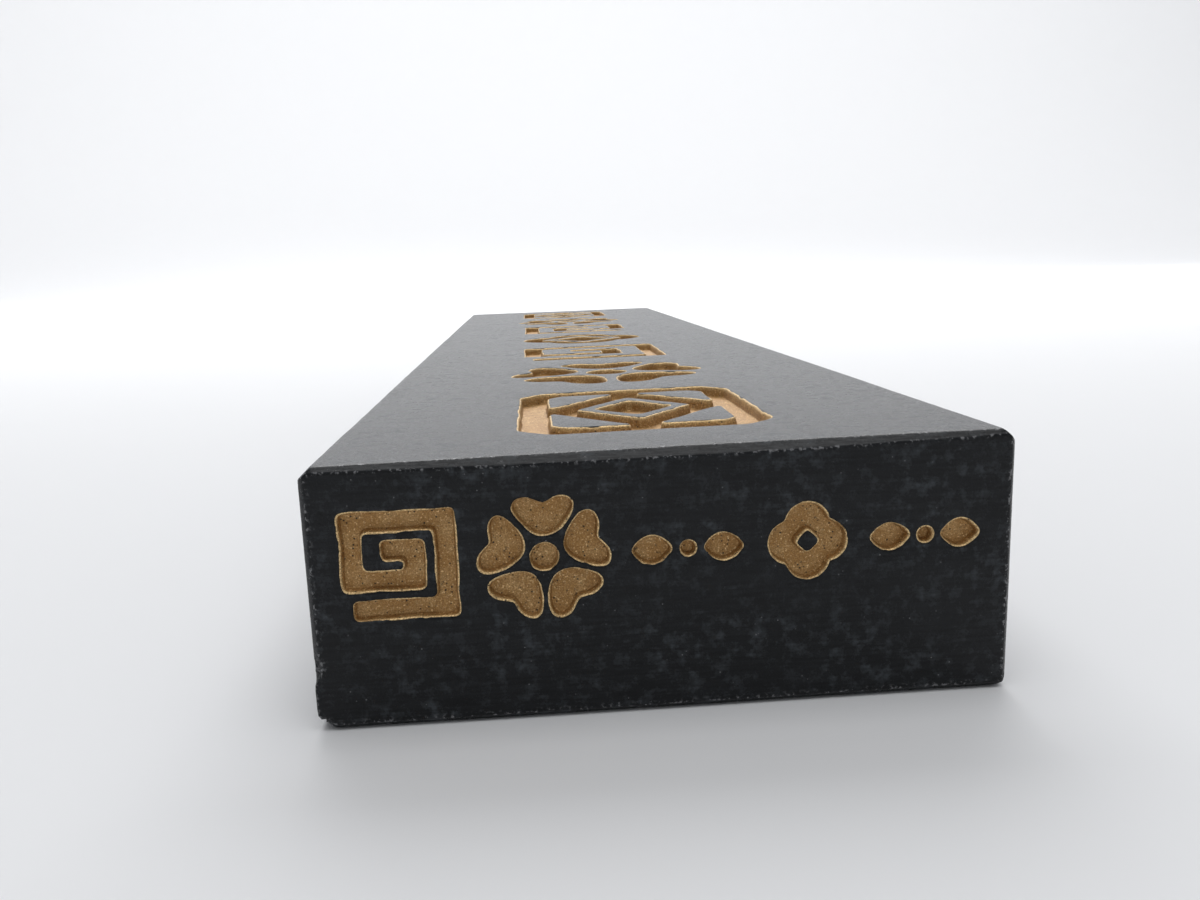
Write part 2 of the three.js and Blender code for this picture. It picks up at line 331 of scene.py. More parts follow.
@dataclass
class Facet:
    """One flat that moulding, filing or wear puts across an edge or a corner of the sharp box."""

    normal: Triple
    corner: tuple[int, int, int]
    depth: float
    bow: float = 0.0
    ragged: float = 0.006
    runs_out: float | None = None

    def overshoot(self, points: np.ndarray, box: np.ndarray, seed: int) -> np.ndarray:
        """How far points stand out of the flat, which lies a depth below the edge, square to its normal.
        The depth is less by the bow towards both sides of the block, by a parabola. It wanders by the
        raggedness, and falls to nothing below the height at which the flat runs out, if it does.

        Args:
            points: Places on the sharp box.
            box: Its lowest and highest corner.
            seed: Chooses the wandering.

        Returns:
            The distance of each point outside the flat, less than 0 inside it.
        """
        corner = box[np.array(self.corner), [0, 1, 2]]
        across = 2.0 * points[:, 0] / (box[1, 0] - box[0, 0])
        wander = value_noise(points, 1.7, seed) + 0.6 * value_noise(points, 0.45, seed + 1)
        depth = self.depth - self.bow * across**2 + self.ragged * wander
        if self.runs_out is not None:
            depth = depth * smoothstep(self.runs_out - 0.25, self.runs_out + 0.15, points[:, 2])
        return (points - corner) @ unit(self.normal) + depth


@dataclass(frozen=True)
class ChippedEdge:
    """Chips scattered along an edge of the box: its two corners, by 0 or 1 for each axis's low or high
    side, how many chips there are, and the largest one's radius."""

    start: tuple[int, int, int]
    end: tuple[int, int, int]
    count: int
    largest: float


@dataclass(frozen=True)
class Break:
    """A larger break: its place from the box's lowest corner, its radius, depth and inward direction."""

    place: Triple
    radius: float
    depth: float
    way: Triple


CHIPPED_EDGES = (
    ChippedEdge((0, 0, 1), (1, 0, 1), 60, 0.16),
    ChippedEdge((0, 0, 1), (0, 1, 1), 60, 0.3),
    ChippedEdge((1, 0, 1), (1, 1, 1), 60, 0.3),
    ChippedEdge((0, 0, 0), (0, 0, 1), 10, 0.2),
    ChippedEdge((1, 0, 0), (1, 0, 1), 10, 0.2),
    ChippedEdge((0, 0, 0), (1, 0, 0), 16, 0.25),
    ChippedEdge((0, 1, 1), (1, 1, 1), 16, 0.35),
    ChippedEdge((0, 0, 0), (0, 1, 0), 24, 0.4),
    ChippedEdge((1, 0, 0), (1, 1, 0), 24, 0.4),
)
BROKEN_CORNER = (
    Break((0.0, 0.05, 1.95), 0.3, 0.2, (0.9, 0.3, 0.1)),
    Break((0.05, 0.05, 0.05), 0.62, 0.26, (0.6, 0.3, 0.7)),
    Break((0.1, 0.0, 2.35), 0.4, 0.1, (0.6, 0.8, 0.0)),
)


@dataclass
class HandWork:
    """What moulding, filing and handling do to the sharp box. Every point of the stick goes through it.
    A depth is how far a flat lies below its edge or corner. A pair is for the left and the right side."""

    box: np.ndarray
    softness: float = 0.035
    rub: float = 0.05
    upper_tilt: float = 0.2
    unevenness: float = 0.03
    filed_angle: float = math.radians(39.0)
    filed_depth: float = 0.23
    filed_bow: float = 0.11
    upper_depth: float = 0.297
    lower_depth: float = 0.212
    upright_depths: tuple[float, float] = (0.15, 0.12)
    upright_ends: tuple[float | None, float | None] = (2.0, None)
    foot_depth: float = 0.127
    corner_depths: tuple[float, float] = (0.33, 0.27)
    end_depth: float = 0.155
    chip_seed: int = 7

    def facets(self) -> list[Facet]:
        """The filed facet, then each side's chamfers and worn front corner, then the other end edges.

        Returns:
            The flats, in the order they are cut.
        """
        filed = (0.0, -math.sin(self.filed_angle), math.cos(self.filed_angle))
        flats = [Facet(filed, (0, 0, 1), self.filed_depth, bow=self.filed_bow, ragged=0.008)]
        for side, out in ((0, -1.0), (1, 1.0)):
            upright, runs_out = self.upright_depths[side], self.upright_ends[side]
            flats += [
                Facet((out, 0.0, 1.0), (side, 0, 1), self.upper_depth, ragged=0.016),
                Facet((out, 0.0, -1.0), (side, 0, 0), self.lower_depth),
                Facet((out, -1.0, 0.0), (side, 0, 0), upright, runs_out=runs_out),
                Facet((out, 1.0, 0.0), (side, 1, 0), self.foot_depth),
                Facet((out, -0.8, 1.0), (side, 0, 1), self.corner_depths[side]),
            ]
        for y, z in ((-1, -1), (1, -1), (1, 1)):
            flats.append(Facet((0.0, y, z), (0, int(y > 0), int(z > 0)), self.end_depth))
        return flats

    def chips(self) -> tuple[np.ndarray, np.ndarray, np.ndarray, np.ndarray]:
        """Small breaks along the edges, most on the upper ones, and the head's broken lower corner.

        Returns:
            The chips' centres, radii, depths, and inward directions.
        """
        random = np.random.default_rng(self.chip_seed)
        middle = self.box.mean(axis=0)
        rows = []
        for edge in CHIPPED_EDGES:
            start, end = (self.box[np.array(corner), [0, 1, 2]] for corner in (edge.start, edge.end))
            along = random.uniform(0.01, 0.99, edge.count)[:, None]
            centre = start * (1 - along) + end * along
            radius = edge.largest * (0.22 + 0.78 * random.random(edge.count) ** 5)
            inward = np.where(np.isclose(start, end), np.sign(middle - start), 0.0)
            inward = np.tile(unit(inward), (edge.count, 1))
            depth = radius * random.uniform(0.16, 0.34, edge.count)
            centre = centre + inward * random.uniform(0.02, 0.2, edge.count)[:, None]
            rows.append((centre, radius, depth, inward))
        for broken in BROKEN_CORNER:
            place, way = self.box[0] + np.array(broken.place), unit(broken.way)
            rows.append((place[None], np.array([broken.radius]), np.array([broken.depth]), way[None]))
        return tuple(np.concatenate([row[i] for row in rows]) for i in range(4))

    def shaped(self, points: np.ndarray) -> tuple[np.ndarray, dict[str, np.ndarray]]:
        """Moves points of the sharp box to where they really lie.

        A point that stands out of a flat goes back to it along the flat's normal. The distance is eased
        with a square root, so that the ridge is slightly round. A chip pushes what is within its radius r
        inwards, by its depth times (1 - (d/r)^2)^2 at a distance d.

        Args:
            points: Places on or in the sharp box.

        Returns:
            The new places, and how worn, filed and chipped the surface is at each, from 0 to 1.
        """
        moved = points.copy()
        worn = np.zeros(len(points))
        marks = {"filed": np.zeros(len(points))}
        for number, flat in enumerate(self.facets()):
            over = flat.overshoot(moved, self.box, 11 + 5 * number)
            back = 0.5 * (over + np.sqrt(over**2 + self.softness**2))
            moved = moved - back[:, None] * unit(flat.normal)
            worn = np.maximum(worn, np.exp(-((over / self.rub) ** 2)))
            if number == 0:
                marks["filed"] = smoothstep(-0.02, 0.03, over)
        centres, radii, depths, inward = self.chips()
        chipped = np.zeros(len(points))
        rough = 1.0 + 0.5 * value_noise(points, 0.12, 71)
        for centre, radius, depth, way in zip(centres, radii, depths, inward):
            near = np.flatnonzero(np.all(np.abs(moved - centre) < radius, axis=1))
            if len(near):
                away = np.sum((moved[near] - centre) ** 2, axis=1)
                fade = np.clip(1.0 - away / radius**2, 0.0, 1.0) ** 2
                moved[near] += (fade * depth * rough[near])[:, None] * way
                chipped[near] = np.maximum(chipped[near], fade)
        marks["worn"] = worn
        marks["chipped"] = np.sqrt(chipped)
        return self.warped(moved), marks

    def warped(self, points: np.ndarray) -> np.ndarray:
        """Tilts the upper face down to the left, most at the head, and makes the upper face, the head and
        both sides uneven by smooth noise. Each move goes inwards and fades to nothing across the block, so
        that nothing leaves the box.

        Args:
            points: Places on or in the box.

        Returns:
            The new places.
        """
        low, high = self.box
        share = (points - low) / (high - low)
        moved = points.copy()
        tilt = self.upper_tilt * (1.0 - share[:, 0]) * np.exp(-share[:, 1] * 1.2)
        top = 0.5 + 0.5 * value_noise(points * [1, 1, 0], (7.0, 11.0, 1.0), 31)
        moved[:, 2] -= share[:, 2] * (tilt + self.unevenness * top)
        head = 0.5 + 0.5 * value_noise(points * [1, 0, 1], (5.0, 1.0, 4.0), 32)
        moved[:, 1] += (1.0 - share[:, 1]) * self.unevenness * head
        side = value_noise(points * [0, 1, 1], (1.0, 14.0, 6.0), 33)
        moved[:, 0] += (0.5 - share[:, 0]) * 2.0 * self.unevenness * (0.5 + 0.5 * side)
        return moved


@dataclass(frozen=True)
class SunkSection:
    """The section of a sunk stroke's edge. A parameter runs down it: from 0 to 1 over the rounded rim, to
    2 down the wall, which leans by the taper, and to 3 round the fillet to the floor. The paint starts on
    the rim, at a parameter within the lip's range."""

    depth: float
    taper: float
    rim: float
    fillet: float
    paint: float
    lip: tuple[float, float]

    def tightest(self) -> tuple[float, float]:
        """The smallest bends it can be carried round, to the right (outside) and to the left (inside)."""
        return 1.3 * (self.taper + self.rim), 1.3 * (self.fillet + self.paint)

    def at(self, down: np.ndarray) -> tuple[np.ndarray, np.ndarray, np.ndarray]:
        """Places on the section: a quadratic curve for the rim, a straight line, and one for the fillet.

        Args:
            down: The parameter, from 0 to 3.

        Returns:
            The outset from the wall's foot, the depth below the face, and the unit normal out of the
            block, as outset and depth in a last axis of 2.
        """
        knee = self.depth - self.fillet
        legs = np.array([
            [(self.taper + self.rim, 0.0), (self.taper, 0.0), (self.taper, self.rim)],
            [(self.taper, self.rim), (self.taper / 2, (self.rim + knee) / 2), (0.0, knee)],
            [(0.0, knee), (0.0, self.depth), (-self.fillet, self.depth)],
        ])
        leg = np.clip(down.astype(int), 0, 2)
        t = (down - leg)[..., None]
        first, middle, last = (legs[leg, i] for i in range(3))
        place = (1 - t) ** 2 * first + 2 * t * (1 - t) * middle + t**2 * last
        along = (1 - t) * (middle - first) + t * (last - middle)
        along = along / np.linalg.norm(along, axis=-1, keepdims=True)
        return place[..., 0], place[..., 1], np.stack([-along[..., 1], along[..., 0]], axis=-1)

    def bare(self) -> tuple[np.ndarray, np.ndarray]:
        """The block's own section.

        Returns:
            The outsets and the depths, a row for each ring, top ring first.
        """
        outset, depth, _ = self.at(np.array([0.0, 0.35, 0.7, 1.0, 1.5, 2.0, 2.5, 3.0])[:, None])
        return outset, depth

    def painted(self, lip: np.ndarray, shift: float) -> tuple[np.ndarray, np.ndarray]:
        """The section of a skin of the paint. It starts at the lip, a hair inside the block, rises by an
        S-shaped step, and then stays a shift away from the block.

        Args:
            lip: The parameter at which the paint starts, for each point of the outline.
            shift: The distance between the block and the skin.

        Returns:
            The outsets and the depths, by ring and point, top ring first.
        """
        share = np.array([0.0, 0.03, 0.12, 0.25, 0.42, 0.65, 0.82, 1.0])[:, None]
        outset, depth, normal = self.at(lip + share * (3.0 - lip))
        rise = shift * smoothstep(0.0, 0.12, share) - 0.002 * (share == 0.0)
        return outset + rise * normal[..., 0], depth + rise * normal[..., 1]


@dataclass(frozen=True)
class Carving:
    """How strokes are cut: the section of their edges, the spacing of the outlines' points, how soft and
    shaky the outlines are, and the spacing of the points on the paint's floor."""

    section: SunkSection
    pitch: float
    softness: float
    wobble: float
    floor_pitch: float


HEAD_CARVING = Carving(
    SunkSection(depth=0.35, taper=0.05, rim=0.09, fillet=0.05, paint=0.02, lip=(0.25, 0.8)),
    pitch=0.06,
    softness=0.1,
    wobble=0.03,
    floor_pitch=0.16,
)
UPPER_CARVING = Carving(
    SunkSection(depth=0.5, taper=0.07, rim=0.08, fillet=0.09, paint=0.035, lip=(0.35, 0.85)),
    pitch=0.12,
    softness=0.18,
    wobble=0.06,
    floor_pitch=0.4,
)


@dataclass
class SunkStroke:
    """One stroke, petal or leaf of an ornament: its outlines, and the recess and film that they give."""

    node: str
    face: Face
    box: np.ndarray
    carving: Carving
    underside_gap: float = 0.004
    ease_steps: int = 600

    def outlines(self) -> list[np.ndarray]:
        """The boundary of the node's outward side, as loops with the stroke on their left.

        Returns:
            The loops, faired, longest first.
        """
        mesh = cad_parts[self.node].data
        corners = np.empty(len(mesh.vertices) * 3)
        mesh.vertices.foreach_get("co", corners)
        corners = np.round(corners.reshape(-1, 3) / MM, 4)
        places, number = np.unique(corners, axis=0, return_inverse=True)
        mesh.calc_loop_triangles()
        triangles = np.empty(len(mesh.loop_triangles) * 3, dtype=np.int32)
        mesh.loop_triangles.foreach_get("vertices", triangles)
        triangles = number.reshape(-1)[triangles.reshape(-1, 3)]
        u, v, w, high = self.face.value
        a, b, c = (places[triangles[:, i]] for i in range(3))
        normal = np.cross(b - a, c - a)
        outward = normal[:, w] * (1.0 if high else -1.0) > 0.99 * np.linalg.norm(normal, axis=1)
        front = triangles[outward & (np.linalg.norm(normal, axis=1) > 0)]
        edges = {(int(p), int(q)) for t in front for p, q in ((t[0], t[1]), (t[1], t[2]), (t[2], t[0]))}
        after = {p: q for p, q in edges if (q, p) not in edges}
        loops = []
        while after:
            start, step = after.popitem()
            loop = [start]
            while step != start:
                loop.append(step)
                step = after.pop(step)
            loops.append(self.faired(places[loop][:, [u, v]]))
        return sorted(loops, key=len, reverse=True)

    def faired(self, loop: np.ndarray) -> np.ndarray:
        """Makes a loop even and slightly soft, as a hand-cut mould gives it: evenly spaced points, moved
        by smooth noise, then blurred along the loop by a Gaussian, which rounds its corners, and eased.

        Args:
            loop: The corners of the outline.

        Returns:
            The new points of the outline.
        """
        closed = np.concatenate([loop, loop[:1]])
        length = np.concatenate([[0.0], np.cumsum(np.linalg.norm(np.diff(closed, axis=0), axis=1))])
        count = max(12, round(length[-1] / self.carving.pitch))
        at = np.arange(count) * length[-1] / count
        even = np.stack([np.interp(at, length, closed[:, i]) for i in range(2)], axis=1)
        cell = 6.0 * self.carving.softness
        shake = np.stack([value_noise(spatial(even), cell, seed) for seed in (51, 52)], axis=1)
        even = even + self.carving.wobble * shake
        waves = np.fft.fftfreq(count, length[-1] / count)
        gain = np.exp(-2.0 * (math.pi * self.carving.softness * waves) ** 2)
        return self.eased(np.fft.ifft(np.fft.fft(even, axis=0) * gain[:, None], axis=0).real)

    def eased(self, loop: np.ndarray) -> np.ndarray:
        """Opens the corners that are too tight for the section to be carried round. While a point bends
        more sharply than the section allows on that side, it and its neighbours move half of the way to
        the middle between theirs.

        Args:
            loop: A closed loop with the stroke on its left.

        Returns:
            The loop with its sharpest corners opened.
        """
        right, left = self.carving.section.tightest()
        for _ in range(self.ease_steps):
            before, after = np.roll(loop, 1, axis=0), np.roll(loop, -1, axis=0)
            a, b, c = loop - before, after - loop, after - before
            sides = np.prod([np.linalg.norm(side, axis=1) for side in (a, b, c)], axis=0)
            bend = 2.0 * (a[:, 0] * b[:, 1] - a[:, 1] * b[:, 0]) / sides
            tight = (bend > 1.0 / left) | (bend < -1.0 / right)
            if not tight.any():
                break
            near = tight | np.roll(tight, 1) | np.roll(tight, -1)
            loop = np.where(near[:, None], 0.5 * loop + 0.25 * (before + after), loop)
        return loop

    def carried(self, loop: np.ndarray, outsets: np.ndarray) -> np.ndarray:
        """Carries a section round a loop: each ring is the loop moved sideways, out of the stroke.

        Args:
            loop: A closed loop with the stroke on its left.
            outsets: How far each ring lies outside, by ring, or by ring and point.

        Returns:
            The rings' u and v, by ring and point.
        """
        along = np.roll(loop, -1, axis=0) - np.roll(loop, 1, axis=0)
        right = np.stack([along[:, 1], -along[:, 0]], axis=1)
        right /= np.linalg.norm(right, axis=1, keepdims=True)
        return loop[None] + np.broadcast_to(outsets, (len(outsets), len(loop)))[..., None] * right[None]

    def mouths(self) -> list[np.ndarray]:
        """The loops in the face where the rims start."""
        outsets, _ = self.carving.section.bare()
        return [self.carried(loop, outsets)[0] for loop in self.outlines()]

    def cut_recess(self, block: Surface) -> None:
        """Adds the recess's rims, walls and floor to the block's surface."""
        outsets, depths = self.carving.section.bare()
        lowest = []
        for loop in self.outlines():
            rings = self.carried(loop, outsets)
            deep = np.broadcast_to(depths, rings.shape[:2])
            block.add(self.face.place(rings, deep, self.box), grid_triangles(*rings.shape[:2], True))
            lowest.append(rings[-1])
        floor, triangles = filled(lowest, np.zeros((0, 2)))
        block.add(self.face.place(floor, self.carving.section.depth, self.box), triangles)

    def paint_film(self) -> tuple[np.ndarray, np.ndarray, np.ndarray]:
        """The dried paint: a visible skin and an underside close to the block, which meet at the lip.

        Returns:
            The points, the triangles, and how near each point is to the block's face, from 0 to 1; the
            finish paints a highlight at the rim by it.
        """
        film = Surface()
        section = self.carving.section
        for shift, sense in ((section.paint, 1), (self.underside_gap, -1)):
            self.add_skin(film, shift, sense)
        points, triangles = film.welded()
        _, _, w, high = self.face.value
        below = np.abs(points[:, w] - self.box[high, w])
        return points, triangles, 1.0 - smoothstep(0.0, 0.4 * section.depth, below)

    def add_skin(self, film: Surface, shift: float, sense: int) -> None:
        """Adds one skin of the paint. Its lip wanders on the rim as a brush leaves it, and its floor is
        uneven by smooth noise.

        Args:
            film: The film's surface.
            shift: How far the skin lies above the block.
            sense: 1 for the visible skin, and -1 for the underside, which faces the block.
        """
        section = self.carving.section
        lowest = []
        for loop in self.outlines():
            flat = spatial(loop)
            wander = 0.5 + 0.5 * value_noise(flat, 0.7, 61) + 0.3 * value_noise(flat, 0.16, 62)
            lip = section.lip[0] + (section.lip[1] - section.lip[0]) * np.clip(wander, 0.0, 1.0) ** 2
            outsets, depths = section.painted(lip, shift)
            rings = self.carried(loop, outsets)
            triangles = grid_triangles(*rings.shape[:2], True)
            film.add(self.face.place(rings, depths, self.box), triangles[:, ::sense])
            lowest.append(rings[-1])
        edge = np.concatenate(lowest)
        inner = np.zeros((0, 2))
        if sense > 0:
            inner = scatter(edge.min(axis=0), edge.max(axis=0), self.carving.floor_pitch, lowest)
        floor, triangles = filled(lowest, inner)
        level = np.full(len(floor), section.depth - shift)
        lumps = value_noise(spatial(floor[len(edge) :]), 2.5 * self.carving.floor_pitch, 63)
        level[len(edge) :] -= 0.4 * section.paint * (1.0 + lumps)
        film.add(self.face.place(floor, level, self.box), triangles[:, ::sense])


@dataclass
class InkBlock:
    """The pressed block: its lattice along the edges, the fields between, and the recesses. A ramp holds
    the places of the lattice's first lines in from an edge. The pitches part its other lines, by axis."""

    box: np.ndarray
    work: HandWork
    strokes: list[SunkStroke]
    fine_ramp: tuple[float, ...] = (0, 0.04, 0.08, 0.12, 0.16, 0.2, 0.25, 0.3, 0.36, 0.42, 0.5, 0.65, 0.9)
    plain_ramp: tuple[float, ...] = (0, 0.06, 0.12, 0.2, 0.3, 0.42, 0.55, 0.8)
    pitches: Triple = (0.1, 0.5, 0.15)
    field_pitch: float = 0.9

    def ramps(self, axis: int) -> tuple[tuple[float, ...], tuple[float, ...]]:
        """The ramps at an axis's low and high end: fine ones beside the filed facet."""
        plain, fine = self.plain_ramp, self.fine_ramp
        return ((plain, plain), (fine, plain), (plain, fine))[axis]

    def lines(self, axis: int) -> np.ndarray:
        """The places of the lattice's lines along an axis: the ramps at the ends and even steps between.

        Args:
            axis: 0, 1 or 2 for x, y or z.

        Returns:
            The places, in rising order.
        """
        low, high = self.box[:, axis]
        first, last = (np.array(ramp, dtype=float) for ramp in self.ramps(axis))
        span = high - last[-1] - (low + first[-1])
        middle = np.linspace(low + first[-1], high - last[-1], round(span / self.pitches[axis]) + 1)
        return np.concatenate([low + first[:-1], middle, (high - last[:-1])[::-1]])

    def lay_face(self, surface: Surface, face: Face) -> None:
        """Adds a face: lattice cells in a strip along its edges, and a filled field, open at the mouths.

        Args:
            surface: The block's surface.
            face: Which face.
        """
        u, v, _, _ = face.value
        across, up = self.lines(u), self.lines(v)
        left, right = (len(ramp) - 1 for ramp in self.ramps(u))
        low, high = (len(ramp) - 1 for ramp in self.ramps(v))
        grid = np.stack(np.meshgrid(across, up), axis=-1)
        triangles = grid_triangles(len(up), len(across))
        row, column = np.divmod(triangles[:, 0], len(across))
        inner_row = (row >= low) & (row < len(up) - 1 - high)
        inner_column = (column >= left) & (column < len(across) - 1 - right)
        surface.add(face.place(grid, 0.0, self.box), triangles[~(inner_row & inner_column)])
        ring = grid[low : len(up) - high, left : len(across) - right]
        outline = np.concatenate([ring[0, :-1], ring[:-1, -1], ring[-1, :0:-1], ring[:0:-1, 0]])
        mouths = [mouth for stroke in self.strokes if stroke.face is face for mouth in stroke.mouths()]
        inner = scatter(outline.min(axis=0), outline.max(axis=0), self.field_pitch, [outline, *mouths])
        points, triangles = filled([outline, *mouths], inner)
        surface.add(face.place(points, 0.0, self.box), triangles)

    def build(self) -> bpy.types.Object:
        """Builds the block.

        Returns:
            The block's object, with its marks of wear.
        """
        surface = Surface()
        for face in Face:
            self.lay_face(surface, face)
        for stroke in self.strokes:
            stroke.cut_recess(surface)
        points, triangles = surface.welded()
        moved, marks = self.work.shaped(points)
        return make_piece("pressed_ink_block", moved, triangles, marks)


class Shader:
    """A material in the making: its nodes, with a method for each kind that the finishes here use."""

    def __init__(self, name: str) -> None:
        """Starts an empty material of that name, with places in millimetres to hand."""
        self.material = bpy.data.materials.new(name)
        self.material.use_nodes = True
        self.tree = self.material.node_tree
        self.tree.nodes.clear()
        scaling = {0: self.node("ShaderNodeTexCoord").outputs["Object"], "Scale": 1.0 / MM}
        self.place = self.node("ShaderNodeVectorMath", scaling, operation="SCALE").outputs[0]

    def node(self, kind: str, values: dict | None = None, **settings: object) -> bpy.types.Node:
        """Adds a node.

        Args:
            kind: Its Blender type.
            values: What goes into its sockets: a constant, or another node's socket.
            settings: Its properties.

        Returns:
            The node.
        """
        made = self.tree.nodes.new(kind)
        for key, value in settings.items():
            setattr(made, key, value)
        for key, value in (values or {}).items():
            if isinstance(value, Socket):
                self.tree.links.new(value, made.inputs[key])
            else:
                made.inputs[key].default_value = value
        return made

    def stretched(self, x: float, y: float, z: float) -> Socket:
        """Places multiplied along each axis, which shortens a pattern by that much there."""
        factors = {0: self.place, 1: (x, y, z)}
        return self.node("ShaderNodeVectorMath", factors, operation="MULTIPLY").outputs[0]

    def noise(self, scale: float, detail: float, place: Socket | None = None) -> Socket:
        """A cloudy pattern about 0.5, with scale cells to the millimetre."""
        values = {"Vector": place or self.place, "Scale": scale, "Detail": detail, "Roughness": 0.6}
        return self.node("ShaderNodeTexNoise", values).outputs[0]

    def specks(self, scale: float, size: float) -> Socket:
        """Round specks, 1 in their middles, one to a cell, with scale cells to the millimetre."""
        cells = self.node("ShaderNodeTexVoronoi", {"Vector": self.place, "Scale": scale})
        return self.step(cells.outputs["Distance"], size, size * 0.4)

    def step(self, value: Socket, low: float, high: float) -> Socket:
        """A smooth step of a value, from 0 at low to 1 at high; high may be the smaller."""
        values = {"Value": value, "From Min": low, "From Max": high}
        return self.node("ShaderNodeMapRange", values, interpolation_type="SMOOTHSTEP").outputs[0]

    def to_range(self, value: Socket, low: float, high: float) -> Socket:
        """A value from 0 to 1 spread over a range."""
        values = {"Value": value, "To Min": low, "To Max": high}
        return self.node("ShaderNodeMapRange", values).outputs[0]

    def combine(self, operation: str, a: object, b: object) -> Socket:
        """Two values put together by a Math operation."""
        return self.node("ShaderNodeMath", {0: a, 1: b}, operation=operation).outputs[0]

    def times(self, a: object, b: object) -> Socket:
        """The product of two values."""
        return self.combine("MULTIPLY", a, b)

    def mark(self, name: str) -> Socket:
        """A value that the piece's points carry."""
        return self.node("ShaderNodeAttribute", attribute_name=name).outputs["Fac"]

    def blend(self, share: object, a: object, b: object) -> Socket:
        """A colour that goes from a to b as the share goes from 0 to 1."""
        a, b = (end if isinstance(end, Socket) else (*end, 1.0) for end in (a, b))
        return self.node("ShaderNodeMix", {0: share, 6: a, 7: b}, data_type="RGBA").outputs[2]

    def bump(self, heights: list[tuple[Socket, float]]) -> Socket:
        """Surface relief, one pattern on another.

        Args:
            heights: Each pattern and how high it stands, in millimetres.

        Returns:
            The normal.
        """
        normal = None
        for height, reach in heights:
            values = {"Height": height, "Distance": reach * MM, "Strength": 1.0}
            if normal is not None:
                values["Normal"] = normal
            normal = self.node("ShaderNodeBump", values).outputs[0]
        return normal

    def finish(self, **values: object) -> bpy.types.Material:
        """Puts a Principled shader at the end.

        Args:
            values: Its sockets, with underscores for the spaces in their names.

        Returns:
            The material.
        """
        sockets = {key.replace("_", " "): value for key, value in values.items()}
        surface = self.node("ShaderNodeBsdfPrincipled", sockets).outputs[0]
        self.node("ShaderNodeOutputMaterial", {"Surface": surface})
        return self.material


@dataclass(frozen=True)
class PressedInkFinish:
    """Dried soot and glue: near black, striped by the mould, with grey bloom, specks and worn edges."""

    soot: Triple = (0.0068, 0.0073, 0.0082)
    bloom: Triple = (0.045, 0.051, 0.057)
    filed: Triple = (0.04, 0.041, 0.043)
    dust: Triple = (0.3, 0.3, 0.31)
    gloss: float = 0.22
    ior: float = 1.45

    def material(self) -> bpy.types.Material:
        """Builds the material.

        Returns:
            The material, which reads the marks filed, worn and chipped.
        """
        s = Shader("pressed_ink")
        clouds = s.step(s.noise(0.3, 3.0), 0.4, 0.62)
        mist = s.step(s.noise(1.8, 8.0), 0.46, 0.7)
        stripes = s.noise(1.0, 5.0, s.stretched(0.5, 0.5, 9.0))
        bloomed = s.times(s.to_range(clouds, 0.35, 1.0), mist)
        fine = s.step(s.noise(7.0, 4.0), 0.3, 0.7)
        bloomed = s.times(bloomed, s.to_range(fine, 0.35, 1.5))
        bloomed = s.times(bloomed, s.to_range(s.step(stripes, 0.3, 0.7), 0.5, 1.3))
        colour = s.blend(s.to_range(s.step(stripes, 0.35, 0.7), 0.0, 0.16), self.soot, self.bloom)
        colour = s.blend(bloomed, colour, self.bloom)
        scratches = s.noise(1.0, 4.0, s.stretched(1.4, 12.0, 12.0))
        filed = s.mark("filed")
        filing = s.times(filed, s.to_range(s.step(scratches, 0.4, 0.66), 0.1, 1.0))
        colour = s.blend(filing, colour, self.filed)
        bare = s.combine("MAXIMUM", s.mark("worn"), s.times(s.mark("chipped"), 0.7))
        rubbed = s.times(bare, s.step(s.noise(7.0, 3.0), 0.54, 0.64))
        colour = s.blend(s.times(rubbed, 0.75), colour, self.dust)
        flecks = s.times(s.specks(3.4, 0.11), s.step(s.noise(0.9, 2.0), 0.5, 0.62))
        colour = s.blend(s.times(flecks, 0.6), colour, self.dust)
        grain = s.noise(11.0, 3.0)
        roughness = s.combine("ADD", s.to_range(bloomed, 0.26, 0.4), s.to_range(grain, -0.05, 0.05))
        lines = s.times(scratches, filed)
        relief = s.bump([(grain, 0.01), (lines, 0.012), (s.noise(2.2, 3.0), 0.0012), (stripes, 0.004)])
        gloss = {"Specular_IOR_Level": self.gloss, "IOR": self.ior}
        return s.finish(Base_Color=colour, Roughness=roughness, Normal=relief, **gloss)


